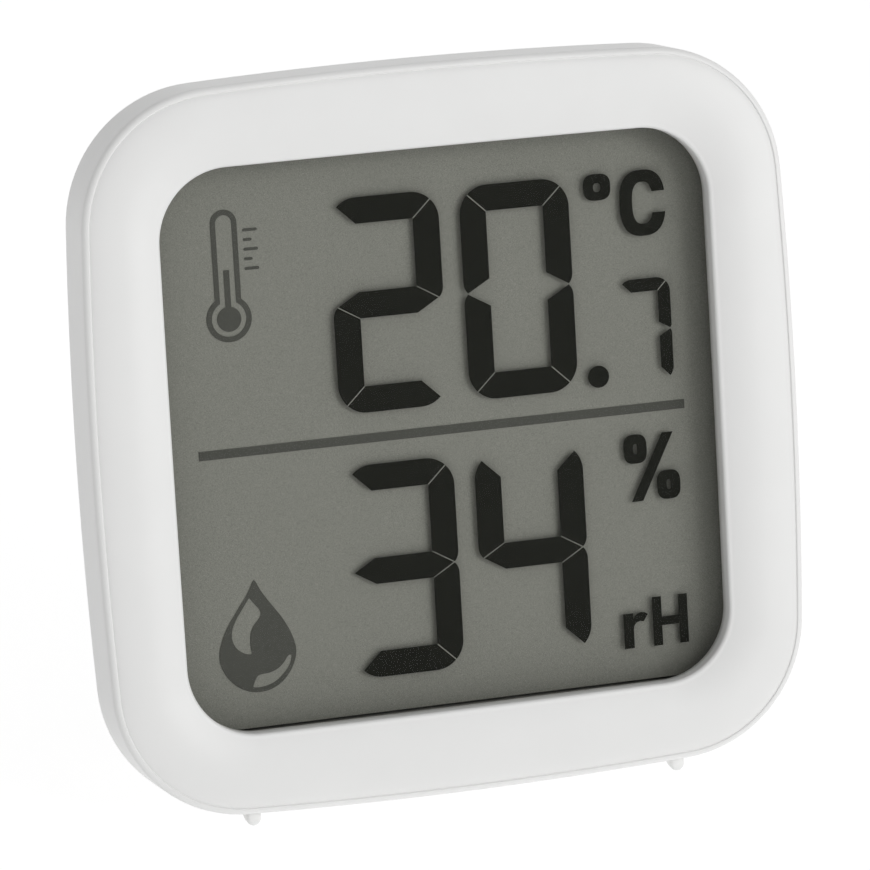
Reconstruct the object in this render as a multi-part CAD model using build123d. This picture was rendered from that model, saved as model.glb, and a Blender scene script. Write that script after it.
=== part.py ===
from build123d import *
import math
import os

os.makedirs("parts", exist_ok=True)

# The case is drawn upright, then leans back on its stand. Millimetres.
# X runs to the right, Y from the rim of the front to the back, Z up.

# Battery: one cell of the AAA size, lying across the back; it sets the width of the case
CELL_R = 5.25
CELL_L = 44.5
CELL_NUB_R = 1.9
CELL_NUB_L = 0.8
CELL_EDGE = 0.4
SLEEVE_T = 0.12
SLEEVE_SHORT = 0.4
CELL_X = 0.9
CELL_Z = 8.2
CELL_LIFT = 0.15
BAY_WALL = 1.0
BAY_FIT = 0.35
BAY_GAP = 0.3
PLUS_ROOM = 0.45
MINUS_ROOM = 2.65

# Case outline: a square with gently bowed sides and large corners
SIDE_ROOM = 12.75
TOP_ROOM = 14.8
SIDE_BOW = 470.0
CORNER_R = 13.0
LEAN = 10.4
SEAT_GAP = 0.1
OVERSHOOT = 1.0

# Front frame: straight side wall, narrow rim, crease line and pillow-shaped face
SIDE_DEPTH = 6.1
FRAME_WALL = 1.6
EDGE_ROUND = 0.55
RIM_W = 0.65
CREASE_DEPTH = 0.15
CREST_RISE = 0.35
CREST_SHARE = 0.45
CREST_FULLNESS = 0.6
FACE_BACK = 2.1
OUTER_STEPS = (0.0, 0.04, 0.12, 0.28, 0.55, 1.0)
INNER_STEPS = (0.0, 0.25, 0.5, 0.75, 1.0)
LIP_TURNS = (0, 30, 60, 90)
FACE_W = 7.85
FACE_H = 8.0
WINDOW_R = 6.8
WINDOW_BOW = 3000.0
LIP_DROP = 0.3
LIP_ROUND = 0.4
RING_T = 0.9
RING_BACK = 4.6

# Front feet: two rounded tongues under the frame
FOOT_INSET = 13.7
FOOT_W = 1.45
FOOT_DROP = 0.95
FOOT_FRONT = 1.3
FOOT_LEVEL = 1.1
FOOT_RISE = 27.0

# Display stack, from the lens back to the circuit board
TAPE_T = 0.15
TAPE_SETBACK = 0.4
LENS_MARGIN_W = 2.0
LENS_MARGIN_H = 2.4
LENS_T = 1.0
LENS_R = 3.0
HOLDER_WALL = 0.95
POLARISER_T = 0.15
FILM_MARGIN = 0.1
GLASS_T = 0.4
GLASS_LEDGE = 1.1
GLASS_CHAMFER = 1.5
REFLECTOR_T = 0.2
WEB_T = 0.8
WEB_RIB = 8.0
ZEBRA_MARGIN = 3.1
ZEBRA_FIT = 0.15
BOARD_GAP = 0.8
BOARD_T = 1.0
BOARD_MARGIN = 1.45
BOARD_R = 4.0

# Screws that hold the board to the display holder
SCREW_INSET_X = 3.6
SCREW_INSET_Z = 9.75
SCREW_R = 0.8
SCREW_HEAD_R = 1.6
SCREW_HEAD_T = 1.1
SCREW_SLOT_L = 1.9
SCREW_SLOT_W = 0.4
SCREW_BITE = 2.25
SCREW_FIT = 0.02
SCREW_BOSS_R = 1.7

# Rear shell: flange inside the frame, tapered walls, flat back
REAR_STEP = 2.4
REAR_DRAFT = 15.0
REAR_WALL = 1.5
BACK_WALL = 1.8
BACK_ROUND = 1.6
FLANGE_FRONT = 4.8
FLANGE_T = 1.1
FLANGE_FIT = 0.15
FLANGE_W = 1.15
HOOK_W = 6.0
HOOK_OUT = 0.35
HOOK_T = 0.6
HOOK_INSET = 19.0
HOOK_ROOT = 0.4
PEG_R = 1.5
PEG_INSET_TOP = 8.6
PEG_INSET_LOW = 5.6
PEG_INSET_Z = 3.75

# Battery contacts
CONTACT_T = 0.3
CONTACT_W = 8.0
CONTACT_TOP = 1.2
LEG_W = 1.5
LEG_FIT = 0.05
LEAF_W = 5.0
LEAF_HALF = 3.7

# Battery door: hinged along its lower edge, flush with the back
DOOR_LAP_X = 2.2
DOOR_LAP_Z = 1.6
DOOR_ROOM = 0.25
DOOR_T = 1.0
DOOR_R = 1.2
DOOR_FIT = 0.15
DOOR_PIN_R = 0.35
DOOR_PIN_L = 0.8
PIN_FIT = 0.05
TONGUE_W = 9.0
TONGUE_L = 5.0
TONGUE_SLOT = 0.6
GRIP_RIDGES = 3
GRIP_PITCH = 0.9
GRIP_RIDGE = 0.35

# Fold-out stand
STAND_INSET = 19.0
STAND_T = 2.2
STAND_HINGE_ROOM = 6.2
STAND_BARREL_R = 1.5
STAND_PIN_R = 1.0
STAND_PIN_L = 1.0
STAND_OPEN = 30.0
STAND_FIT = 0.3
STAND_STOP = 0.05
STAND_RIM = 1.6
STAND_CORE = 1.1
STAND_RIB = 1.0
STAND_POCKETS = 3
STAND_SOLE = 4.0
NAIL_W = 14.0
NAIL_R = 1.2
NAIL_DEEP = 0.5

# Unit button on the back, over a tact switch on the board
BUTTON_INSET = 6.3
BUTTON_RISE = 16.25
BUTTON_R = 2.6
BUTTON_PROUD = 0.3
BUTTON_FLANGE_R = 3.4
BUTTON_FLANGE_T = 0.6
BUTTON_STEM_R = 1.3
BUTTON_TRAVEL = 0.4
BUTTON_FIT = 0.1
GUIDE_WALL = 0.9
GUIDE_L = 4.0
SWITCH_W = 4.5
SWITCH_T = 2.5
SWITCH_R = 0.4
PLUNGER_R = 1.1
PLUNGER_OUT = 0.9
PLUNGER_IN = 1.2
PLUNGER_ROOM = 0.6

# Hanging keyhole near the top of the back
KEYHOLE_ROOM = 4.6
KEYHOLE_R = 3.5
KEYHOLE_SLOT_W = 3.6
KEYHOLE_RISE = 3.8
KEYHOLE_FIT = 0.25
KEYHOLE_POCKET = 3.2
KEYHOLE_WALL = 1.0

# Air slots over the humidity sensor
VENT_INSET = 6.1
VENT_TOP = -8.0
VENT_L = 7.0
VENT_W = 1.2
VENT_PITCH = 2.4
VENT_COUNT = 6

# Board parts
BLOB_R = 6.0
BLOB_T = 1.2
BLOB_Z = -13.0
SENSOR_W = 3.0
SENSOR_T = 1.1
SENSOR_PORT_R = 0.6
CRYSTAL_R = 1.0
CRYSTAL_L = 6.2
CRYSTAL_X = 12.0
CRYSTAL_Z = -22.5
CHIP_L = 1.6
CHIP_W = 0.8
CHIP_T = 0.5
CHIP_COUNT = 6
CHIP_PITCH = 2.6

# Sizes and places across the case, worked out from the sizes above
DOOR_W = CELL_L + PLUS_ROOM + MINUS_ROOM + 2 * DOOR_LAP_X
DOOR_H = 2 * (CELL_R + BAY_FIT + DOOR_LAP_Z)
DOOR_LOW = CELL_Z - DOOR_H / 2
KEYHOLE_Z = CELL_Z + DOOR_H / 2 + KEYHOLE_ROOM
STAND_HINGE_Z = DOOR_LOW - STAND_HINGE_ROOM
CASE_W = CELL_L + 2 * SIDE_ROOM
CASE_H = 2 * (KEYHOLE_Z + TOP_ROOM)
WINDOW_W = CASE_W - 2 * FACE_W
WINDOW_H = CASE_H - 2 * FACE_H
LENS_W = WINDOW_W + 2 * LENS_MARGIN_W
LENS_H = WINDOW_H + 2 * LENS_MARGIN_H
GLASS_W = LENS_W - 2 * (HOLDER_WALL + SEAT_GAP)
GLASS_H = LENS_H - 2 * (HOLDER_WALL + SEAT_GAP)
ZEBRA_L = GLASS_W - 2 * ZEBRA_MARGIN
ZEBRA_T = GLASS_LEDGE - 2 * ZEBRA_FIT
ZEBRA_Z = (GLASS_H - GLASS_LEDGE) / 2
BOARD_W = WINDOW_W + 2 * BOARD_MARGIN
BOARD_H = WINDOW_H + 2 * BOARD_MARGIN
SCREW_X = BOARD_W / 2 - SCREW_INSET_X
SCREW_Z = BOARD_H / 2 - SCREW_INSET_Z
PEG_Z = BOARD_H / 2 - PEG_INSET_Z
PEG_SPOTS = [(BOARD_W / 2 - PEG_INSET_TOP, PEG_Z), (BOARD_W / 2 - PEG_INSET_LOW, -PEG_Z)]
BUTTON_X = BOARD_W / 2 - BUTTON_INSET
BUTTON_Z = BUTTON_RISE - BOARD_H / 2
VENT_X = VENT_INSET - BOARD_W / 2
STAND_W = CASE_W - 2 * STAND_INSET
FOOT_X = CASE_W / 2 - FOOT_INSET
FOOT_BOTTOM = -CASE_H / 2 - FOOT_DROP
BAY_HALF_H = CELL_R + BAY_FIT
BAY_RIGHT = CELL_X + CELL_L / 2 + PLUS_ROOM
BAY_LEFT = CELL_X - CELL_L / 2 - MINUS_ROOM

# Depths, worked out from the front to the back
LENS_FRONT = FACE_BACK + TAPE_T
LENS_BACK = LENS_FRONT + LENS_T
POLARISER_FRONT = LENS_BACK + SEAT_GAP
GLASS_FRONT = POLARISER_FRONT + POLARISER_T
GLASS_MIDDLE = GLASS_FRONT + GLASS_T
GLASS_BACK = GLASS_MIDDLE + GLASS_T
WEB_FRONT = GLASS_BACK + REFLECTOR_T + SEAT_GAP
WEB_BACK = WEB_FRONT + WEB_T
BOARD_FRONT = WEB_BACK + BOARD_GAP
BOARD_BACK = BOARD_FRONT + BOARD_T
SHELL_FRONT = FLANGE_FRONT + FLANGE_T
BAY_FLOOR = BOARD_BACK + BAY_GAP + BAY_WALL
CELL_DEPTH = BAY_FLOOR + CELL_LIFT + CELL_R
CASE_DEPTH = CELL_DEPTH + CELL_R + DOOR_ROOM + DOOR_T
BACK_INSIDE = CASE_DEPTH - BACK_WALL
DOOR_PIVOT_Y = CASE_DEPTH - DOOR_T / 2
DOOR_PIVOT_Z = DOOR_LOW + DOOR_T / 2
STAND_HINGE_Y = CASE_DEPTH - STAND_BARREL_R
STAND_FLOOR = STAND_HINGE_Y - STAND_BARREL_R - STAND_FIT
STAND_HEAD_Z = STAND_HINGE_Z + STAND_BARREL_R + STAND_FIT


def leaned_height(y, z):
    """Height of a point of the case once it leans back."""
    angle = math.radians(LEAN)
    return z * math.cos(angle) - y * math.sin(angle)


def leaned_depth(y, z):
    """Depth of a point of the case once it leans back."""
    angle = math.radians(LEAN)
    return y * math.cos(angle) + z * math.sin(angle)


TABLE = leaned_height(FOOT_FRONT, FOOT_BOTTOM)


def upright(depth):
    """Plane across the case at a depth, looked at from the front."""
    return Plane(origin=(0, depth, 0), x_dir=(1, 0, 0), z_dir=(0, -1, 0))


def slab(face, front, back):
    """Plate with a flat outline, between two depths."""
    return extrude(upright(back) * face, amount=back - front)


def rod(x, z, radius, front, back):
    """Round bar along the depth."""
    return slab(Pos(x, z) * Circle(radius), front, back)


def block(x0, x1, y0, y1, z0, z1):
    """Straight block between three pairs of limits."""
    centre = Pos((x0 + x1) / 2, (y0 + y1) / 2, (z0 + z1) / 2)
    return centre * Box(x1 - x0, y1 - y0, z1 - z0)


def across(profile, x0, x1):
    """Profile drawn in depth and height, pulled along X."""
    side_on = Plane(origin=(x0, 0, 0), x_dir=(0, 1, 0), z_dir=(1, 0, 0))
    return extrude(side_on * profile, amount=x1 - x0)


def bowed_outline(width, height, bow, corner):
    """Rounded rectangle whose four sides are arcs, tangent to the corner arcs."""
    u = width / 2 - bow
    v = height / 2 - bow
    reach = bow - corner
    slope = u / v
    offset = (v * v - u * u) / (2 * v)
    a = 1 + slope * slope
    b = 2 * (offset * slope - u)
    c = u * u + offset * offset - reach * reach
    cx = (-b + math.sqrt(b * b - 4 * a * c)) / (2 * a)
    cz = offset + slope * cx
    side = (cx + corner * (cx - u) / reach, cz + corner * cz / reach)
    top = (cx + corner * cx / reach, cz + corner * (cz - v) / reach)
    turn = (math.atan2(cz, cx - u) + math.atan2(cz - v, cx)) / 2
    middle = (cx + corner * math.cos(turn), cz + corner * math.sin(turn))
    edges = [
        ThreePointArc((side[0], -side[1]), (width / 2, 0), side),
        ThreePointArc(side, middle, top),
        ThreePointArc(top, (0, height / 2), (-top[0], top[1])),
        ThreePointArc((-top[0], top[1]), (-middle[0], middle[1]), (-side[0], side[1])),
        ThreePointArc((-side[0], side[1]), (-width / 2, 0), (-side[0], -side[1])),
        ThreePointArc((-side[0], -side[1]), (-middle[0], -middle[1]), (-top[0], -top[1])),
        ThreePointArc((-top[0], -top[1]), (0, -height / 2), (top[0], -top[1])),
        ThreePointArc((top[0], -top[1]), (middle[0], -middle[1]), (side[0], -side[1])),
    ]
    return make_face(edges)


def case_outline(inset):
    """Outline of the case, moved in by the same amount all round."""
    return bowed_outline(CASE_W - 2 * inset, CASE_H - 2 * inset, SIDE_BOW - inset, CORNER_R - inset)


def face_outline(share):
    """Outline between the crease (0) and the edge of the window (1)."""
    def mix(outer, inner):
        return outer + (inner - outer) * share
    bow = 1 / mix(1 / (SIDE_BOW - RIM_W), 1 / WINDOW_BOW)
    width = mix(CASE_W - 2 * RIM_W, WINDOW_W)
    height = mix(CASE_H - 2 * RIM_W, WINDOW_H)
    return bowed_outline(width, height, bow, mix(CORNER_R - RIM_W, WINDOW_R))


def outer_rise(part):
    """Depth of the face from the crease (0) to its crest (1)."""
    rise = (1 - (1 - part) ** 2) ** CREST_FULLNESS
    return CREASE_DEPTH - (CREASE_DEPTH + CREST_RISE) * rise


def inner_fall(part):
    """Depth of the face from its crest (0) to the start of the rounded lip (1)."""
    return (CREST_RISE + LIP_DROP) * part ** 2 - CREST_RISE


def lip_share():
    """Share of the face at which the rounded lip of the window starts."""
    return 1 - LIP_ROUND / (CASE_W / 2 - RIM_W - WINDOW_W / 2)


def lip_section(turn):
    """Section of the rounded lip, from level (0) to upright (90 degrees)."""
    angle = math.radians(turn)
    share = lip_share() + (1 - lip_share()) * math.sin(angle)
    return upright(LIP_DROP + LIP_ROUND * (1 - math.cos(angle))) * face_outline(share)


def hook_places():
    """Side of the case and place along it of each snap hook."""
    along_x = CASE_W / 2 - HOOK_INSET
    along_z = CASE_H / 2 - HOOK_INSET
    spots = []
    for sign in (-1, 1):
        spots += [((1, 0), sign * along_z), ((-1, 0), sign * along_z)]
        spots += [((0, 1), sign * along_x), ((0, -1), sign * along_x)]
    return spots


def hook_block(side, along, inset, out, front, back, width):
    """Small block on one side of the outline, from inside it outwards."""
    sag = along ** 2 / (2 * SIDE_BOW)
    half = (CASE_W if side[0] else CASE_H) / 2 - inset - sag
    sign = side[0] + side[1]
    low, high = sorted((sign * (half - HOOK_ROOT), sign * (half + out)))
    if side[0]:
        return block(low, high, front, back, along - width / 2, along + width / 2)
    return block(along - width / 2, along + width / 2, front, back, low, high)


def front_frame():
    """Bezel with its pillow face, side walls, lens ring and two feet."""
    body = slab(case_outline(0), 0, SIDE_DEPTH)
    rim = body.faces().sort_by(Axis.Y)[0].edges()
    body = fillet(rim, EDGE_ROUND)
    dome = [upright(outer_rise(s)) * face_outline(s * CREST_SHARE) for s in OUTER_STEPS]
    body += loft(dome, ruled=True)
    reach = lip_share() - CREST_SHARE
    dish = [upright(inner_fall(s)) * face_outline(CREST_SHARE + s * reach) for s in INNER_STEPS]
    body -= loft(dish, ruled=True)
    body -= loft([lip_section(turn) for turn in LIP_TURNS], ruled=True)
    body -= slab(face_outline(1), LIP_DROP + LIP_ROUND, FACE_BACK)
    body -= slab(case_outline(FRAME_WALL), FACE_BACK, SIDE_DEPTH)
    ring_in = RectangleRounded(LENS_W + 2 * FLANGE_FIT, LENS_H + 2 * FLANGE_FIT, LENS_R + FLANGE_FIT)
    ring_out = RectangleRounded(
        LENS_W + 2 * (FLANGE_FIT + RING_T), LENS_H + 2 * (FLANGE_FIT + RING_T), LENS_R + FLANGE_FIT + RING_T)
    body += slab(ring_out - ring_in, FACE_BACK, RING_BACK)
    for side, along in hook_places():
        inset = FRAME_WALL
        front = hook_front() - SEAT_GAP
        back = hook_front() + HOOK_T + SEAT_GAP
        body -= hook_block(side, along, inset, HOOK_OUT, front, back, HOOK_W + 2 * FLANGE_FIT)
    for x in (-FOOT_X, FOOT_X):
        body += front_foot(x)
    return body


def front_foot(x):
    """Rounded tongue under the frame: level with the table, then rising to the back."""
    level = math.radians(LEAN)
    rise = math.radians(FOOT_RISE)
    root = -CASE_H / 2 + FRAME_WALL / 2
    heel_y = FOOT_FRONT + FOOT_LEVEL
    heel_z = FOOT_BOTTOM + FOOT_LEVEL * math.tan(level)
    end_y = heel_y + (root - heel_z) / math.tan(rise)
    side_view = make_face(Polyline([
        (FOOT_FRONT, root), (FOOT_FRONT, FOOT_BOTTOM), (heel_y, heel_z), (end_y, root)], close=True))
    tongue = across(side_view, x - FOOT_W / 2, x + FOOT_W / 2)
    radius = FOOT_W / 2
    slope = Plane(origin=(x, FOOT_FRONT, FOOT_BOTTOM + radius), x_dir=(1, 0, 0),
                  z_dir=(0, -math.cos(level), -math.sin(level)))
    front_view = Circle(radius) + Pos(0, FOOT_W) * Rectangle(FOOT_W, 2 * FOOT_W)
    return tongue & extrude(slope * front_view, amount=end_y, both=True)


def hook_front():
    """Depth at which the snap hooks start."""
    return FLANGE_FRONT + (FLANGE_T - HOOK_T) / 2


def lens_tape():
    """Thin adhesive frame between the face and the lens."""
    hole_w = WINDOW_W + 2 * TAPE_SETBACK
    hole_h = WINDOW_H + 2 * TAPE_SETBACK
    hole = RectangleRounded(hole_w, hole_h, WINDOW_R + TAPE_SETBACK)
    return slab(RectangleRounded(LENS_W, LENS_H, LENS_R) - hole, FACE_BACK, LENS_FRONT)


def display_lens():
    """Clear window behind the bezel."""
    return slab(RectangleRounded(LENS_W, LENS_H, LENS_R), LENS_FRONT, LENS_BACK)


def cell_outline(grow, ledge):
    """Outline of the display cell with its cut corners, less a ledge above and below."""
    whole = Rectangle(GLASS_W + 2 * grow, GLASS_H + 2 * grow)
    whole = chamfer(whole.vertices(), GLASS_CHAMFER)
    return whole & Rectangle(GLASS_W + 2 * grow, GLASS_H + 2 * (grow - ledge))


def lcd_front_polariser():
    """Film on the front of the display cell."""
    return slab(cell_outline(-FILM_MARGIN, 0), POLARISER_FRONT, GLASS_FRONT)


def lcd_glass():
    """Two glass plates; the rear one is shorter and bares the contact ledges."""
    front = slab(cell_outline(0, 0), GLASS_FRONT, GLASS_MIDDLE)
    return front + slab(cell_outline(0, GLASS_LEDGE), GLASS_MIDDLE, GLASS_BACK)


def lcd_reflector():
    """Reflecting film on the back of the display cell."""
    return slab(cell_outline(-FILM_MARGIN, GLASS_LEDGE), GLASS_BACK, GLASS_BACK + REFLECTOR_T)


def screw_spots():
    """Places of the four board screws."""
    return [(sx * SCREW_X, sz * SCREW_Z) for sx in (-1, 1) for sz in (-1, 1)]


def lcd_holder():
    """Tray round the display cell, with a web, strip slots and screw bosses."""
    tray = RectangleRounded(LENS_W, LENS_H, LENS_R)
    body = slab(tray, POLARISER_FRONT, WEB_BACK)
    body -= slab(cell_outline(SEAT_GAP, 0), POLARISER_FRONT, WEB_FRONT)
    for sign in (-1, 1):
        slot = Pos(0, sign * ZEBRA_Z) * Rectangle(ZEBRA_L + 2 * ZEBRA_FIT, ZEBRA_T + 2 * ZEBRA_FIT)
        body -= slab(slot, WEB_FRONT, WEB_BACK)
    hole_w = SCREW_X - SCREW_BOSS_R - WEB_RIB
    hole_h = SCREW_Z - SCREW_BOSS_R
    for sx in (-1, 1):
        for sz in (-1, 1):
            middle = Pos(sx * (hole_w + WEB_RIB) / 2, sz * (hole_h + WEB_RIB) / 2)
            hole = RectangleRounded(hole_w, hole_h, LENS_R)
            body -= slab(middle * hole, WEB_FRONT, WEB_BACK)
    for x, z in screw_spots():
        body += rod(x, z, SCREW_BOSS_R, WEB_BACK, BOARD_FRONT)
    for x, z in screw_spots():
        body -= rod(x, z, SCREW_R + SCREW_FIT, BOARD_BACK - SCREW_BITE - SEAT_GAP, BOARD_FRONT)
    return body


def zebra_strips():
    """Two rubber contact strips between the glass ledges and the board."""
    strips = []
    for sign in (-1, 1):
        strip = Pos(0, sign * ZEBRA_Z) * Rectangle(ZEBRA_L, ZEBRA_T)
        strips.append(slab(strip, GLASS_MIDDLE, BOARD_FRONT))
    return strips


def circuit_board():
    """Printed circuit board behind the display."""
    body = slab(RectangleRounded(BOARD_W, BOARD_H, BOARD_R), BOARD_FRONT, BOARD_BACK)
    for x, z in screw_spots():
        body -= rod(x, z, SCREW_R + SEAT_GAP, BOARD_FRONT, BOARD_BACK)
    return body


def board_screws():
    """Four small screws through the board, each with a domed head and a cross slot."""
    screws = []
    for x, z in screw_spots():
        shank = rod(x, z, SCREW_R, BOARD_BACK - SCREW_BITE, BOARD_BACK)
        head = rod(x, z, SCREW_HEAD_R, BOARD_BACK, BOARD_BACK + SCREW_HEAD_T)
        head = fillet(head.edges().sort_by(Axis.Y)[-1], SCREW_HEAD_T / 2)
        for turn in (0, 90):
            slot = Pos(x, z) * Rot(0, 0, turn) * Rectangle(SCREW_SLOT_L, SCREW_SLOT_W)
            head -= slab(slot, BOARD_BACK + SCREW_HEAD_T / 2, BOARD_BACK + SCREW_HEAD_T)
        screws.append(shank + head)
    return screws


def controller_blob():
    """Dome of resin over the controller chip."""
    ball = (BLOB_R ** 2 + BLOB_T ** 2) / (2 * BLOB_T)
    dome = Pos(0, BOARD_BACK + BLOB_T - ball, BLOB_Z) * Sphere(ball)
    return dome & rod(0, BLOB_Z, 2 * BLOB_R, BOARD_BACK, BOARD_BACK + 2 * BLOB_T)


def sensor_height():
    """Height of the humidity sensor, behind the middle of the air slots."""
    return VENT_TOP - VENT_PITCH * (VENT_COUNT - 1) / 2


def humidity_sensor():
    """Flat sensor package with a round air port."""
    z = sensor_height()
    body = slab(Pos(VENT_X, z) * Rectangle(SENSOR_W, SENSOR_W), BOARD_BACK, BOARD_BACK + SENSOR_T)
    return body - rod(VENT_X, z, SENSOR_PORT_R, BOARD_BACK + SENSOR_T / 2, BOARD_BACK + SENSOR_T)


def quartz_crystal():
    """Cylindrical crystal can, lying on the board."""
    centre = Pos(CRYSTAL_X, BOARD_BACK + CRYSTAL_R, CRYSTAL_Z)
    return centre * Rot(0, 90, 0) * Cylinder(CRYSTAL_R, CRYSTAL_L)


def chip_components():
    """Two rows of small surface-mounted parts beside the controller."""
    chips = []
    for sign in (-1, 1):
        for step in range(CHIP_COUNT):
            x = sign * (BLOB_R + CHIP_PITCH)
            z = BLOB_Z + (step - (CHIP_COUNT - 1) / 2) * CHIP_PITCH / 2
            chips.append(slab(Pos(x, z) * Rectangle(CHIP_L, CHIP_W), BOARD_BACK, BOARD_BACK + CHIP_T))
    return chips


def tact_switch():
    """Body of the push switch on the board, open for its plunger."""
    top = BOARD_BACK + SWITCH_T
    outline = Pos(BUTTON_X, BUTTON_Z) * RectangleRounded(SWITCH_W, SWITCH_W, SWITCH_R)
    well = rod(BUTTON_X, BUTTON_Z, PLUNGER_R + BUTTON_FIT, top - PLUNGER_IN - PLUNGER_ROOM, top)
    return slab(outline, BOARD_BACK, top) - well


def plunger_end():
    """Depth of the free end of the switch plunger."""
    return BOARD_BACK + SWITCH_T + PLUNGER_OUT


def switch_plunger():
    """Plunger of the push switch."""
    return rod(BUTTON_X, BUTTON_Z, PLUNGER_R, BOARD_BACK + SWITCH_T - PLUNGER_IN, plunger_end())


def unit_button():
    """Push button with a flange behind the back wall and a stem down to the switch."""
    cap = rod(BUTTON_X, BUTTON_Z, BUTTON_R, BACK_INSIDE - BUTTON_FLANGE_T, CASE_DEPTH + BUTTON_PROUD)
    cap = fillet(cap.edges().sort_by(Axis.Y)[-1], BUTTON_PROUD)
    flange_back = BACK_INSIDE - BUTTON_FIT
    flange = rod(BUTTON_X, BUTTON_Z, BUTTON_FLANGE_R, flange_back - BUTTON_FLANGE_T, flange_back)
    return cap + flange + rod(BUTTON_X, BUTTON_Z, BUTTON_STEM_R, plunger_end(), flange_back)


def keyhole_slot(width):
    """Upright slot in which a screw rises through the hanging hole."""
    return Pos(0, KEYHOLE_Z + KEYHOLE_RISE / 2) * SlotCenterToCenter(KEYHOLE_RISE, width, rotation=90)


def keyhole_pocket(grow):
    """Outline of the room behind the hanging hole, wide enough for a screw head."""
    return keyhole_slot(2 * (KEYHOLE_R + KEYHOLE_FIT + grow))


def tapered_shell(inset):
    """Solid of the rear shell's outside, moved in by a wall."""
    reach = BACK_INSIDE if inset else CASE_DEPTH
    start = REAR_STEP + inset
    end = start + (reach - SHELL_FRONT) * math.tan(math.radians(REAR_DRAFT))
    return loft([upright(SHELL_FRONT) * case_outline(start), upright(reach) * case_outline(end)])


def stand_recess(wall):
    """Room for the stand in the back, open at the bottom, grown by a wall."""
    half = STAND_W / 2 + STAND_FIT / 2 + wall
    low = -CASE_H / 2
    return block(-half, half, STAND_FLOOR - wall, CASE_DEPTH + OVERSHOOT, low, STAND_HEAD_Z + wall)


def rear_shell():
    """Back of the case with battery bay, stand recess, keyhole, guide and air slots."""
    outside = tapered_shell(0)
    outside = fillet(outside.faces().sort_by(Axis.Y)[-1].edges(), BACK_ROUND)
    inner = case_outline(FRAME_WALL + FLANGE_FIT + FLANGE_W)
    flange = slab(case_outline(FRAME_WALL + FLANGE_FIT) - inner, FLANGE_FRONT, SHELL_FRONT)
    bay = block(
        BAY_LEFT - BAY_WALL, BAY_RIGHT + BAY_WALL, BAY_FLOOR - BAY_WALL, BACK_INSIDE,
        CELL_Z - BAY_HALF_H - BAY_WALL, CELL_Z + BAY_HALF_H + BAY_WALL)
    pocket = slab(keyhole_pocket(KEYHOLE_WALL), BACK_INSIDE - KEYHOLE_POCKET - KEYHOLE_WALL, BACK_INSIDE)
    fittings = bay + pocket + stand_recess(REAR_WALL)
    body = outside - tapered_shell(REAR_WALL)
    body += fittings & outside
    body += flange
    root = FRAME_WALL + FLANGE_FIT
    hook_back = hook_front() + HOOK_T
    for side, along in hook_places():
        body += hook_block(side, along, root, HOOK_OUT, hook_front(), hook_back, HOOK_W)
    for x, z in PEG_SPOTS:
        for sign in (-1, 1):
            body += rod(sign * x, z, PEG_R, BOARD_BACK, BACK_INSIDE)
    guide_r = BUTTON_FLANGE_R + BUTTON_FIT
    body += rod(BUTTON_X, BUTTON_Z, guide_r + GUIDE_WALL, BACK_INSIDE - GUIDE_L, BACK_INSIDE)
    body -= rod(BUTTON_X, BUTTON_Z, guide_r, BACK_INSIDE - GUIDE_L, BACK_INSIDE)
    body -= rod(BUTTON_X, BUTTON_Z, BUTTON_R + BUTTON_FIT, BACK_INSIDE, CASE_DEPTH)
    body -= stand_recess(0)
    body -= bay_room()
    body -= slab(keyhole_pocket(0), BACK_INSIDE - KEYHOLE_POCKET, BACK_INSIDE)
    entry = keyhole_slot(KEYHOLE_SLOT_W) + Pos(0, KEYHOLE_Z) * Circle(KEYHOLE_R)
    body -= slab(entry, BACK_INSIDE, CASE_DEPTH)
    body -= door_rebate()
    body -= hinge_sockets()
    for step in range(VENT_COUNT):
        slot = Pos(VENT_X, VENT_TOP - step * VENT_PITCH) * SlotOverall(VENT_L, VENT_W)
        body -= slab(slot, BACK_INSIDE, CASE_DEPTH)
    for x in (plus_plane(), minus_plane()):
        body -= leg_block(x, LEG_FIT, BAY_FLOOR - BAY_WALL, BAY_FLOOR)
    return body


def bay_room():
    """Room for the cell and its two contacts."""
    return block(BAY_LEFT, BAY_RIGHT, BAY_FLOOR, CASE_DEPTH, CELL_Z - BAY_HALF_H, CELL_Z + BAY_HALF_H)


def door_rebate():
    """Shallow seat for the battery door."""
    return slab(door_face(DOOR_FIT), CASE_DEPTH - DOOR_T - DOOR_FIT, CASE_DEPTH)


def pin_along_x(x0, x1, y, z, radius):
    """Round pin along X."""
    return across(Pos(y, z) * Circle(radius), x0, x1)


def hinge_sockets():
    """Blind round sockets for the pins of the door and the stand."""
    door = DOOR_W / 2 + DOOR_PIN_L + DOOR_FIT + PIN_FIT
    stand = STAND_W / 2 + STAND_PIN_L + STAND_FIT / 2
    sockets = pin_along_x(-door, door, DOOR_PIVOT_Y, DOOR_PIVOT_Z, DOOR_PIN_R + PIN_FIT)
    return sockets + pin_along_x(-stand, stand, STAND_HINGE_Y, STAND_HINGE_Z, STAND_PIN_R + PIN_FIT)


def battery_cell():
    """Steel can of the cell with its contact nub on the right."""
    left = CELL_X - CELL_L / 2
    shoulder = left + CELL_L - CELL_NUB_L
    can = pin_along_x(left, shoulder, CELL_DEPTH, CELL_Z, CELL_R - SLEEVE_T)
    can = fillet(can.edges().filter_by(GeomType.CIRCLE), CELL_EDGE)
    return can + pin_along_x(shoulder, left + CELL_L, CELL_DEPTH, CELL_Z, CELL_NUB_R)


def battery_sleeve():
    """Thin printed sleeve shrunk round the can."""
    left = CELL_X - CELL_L / 2 + SLEEVE_SHORT
    right = CELL_X + CELL_L / 2 - CELL_NUB_L - SLEEVE_SHORT
    ring = Circle(CELL_R) - Circle(CELL_R - SLEEVE_T)
    return across(Pos(CELL_DEPTH, CELL_Z) * ring, left, right)


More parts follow.
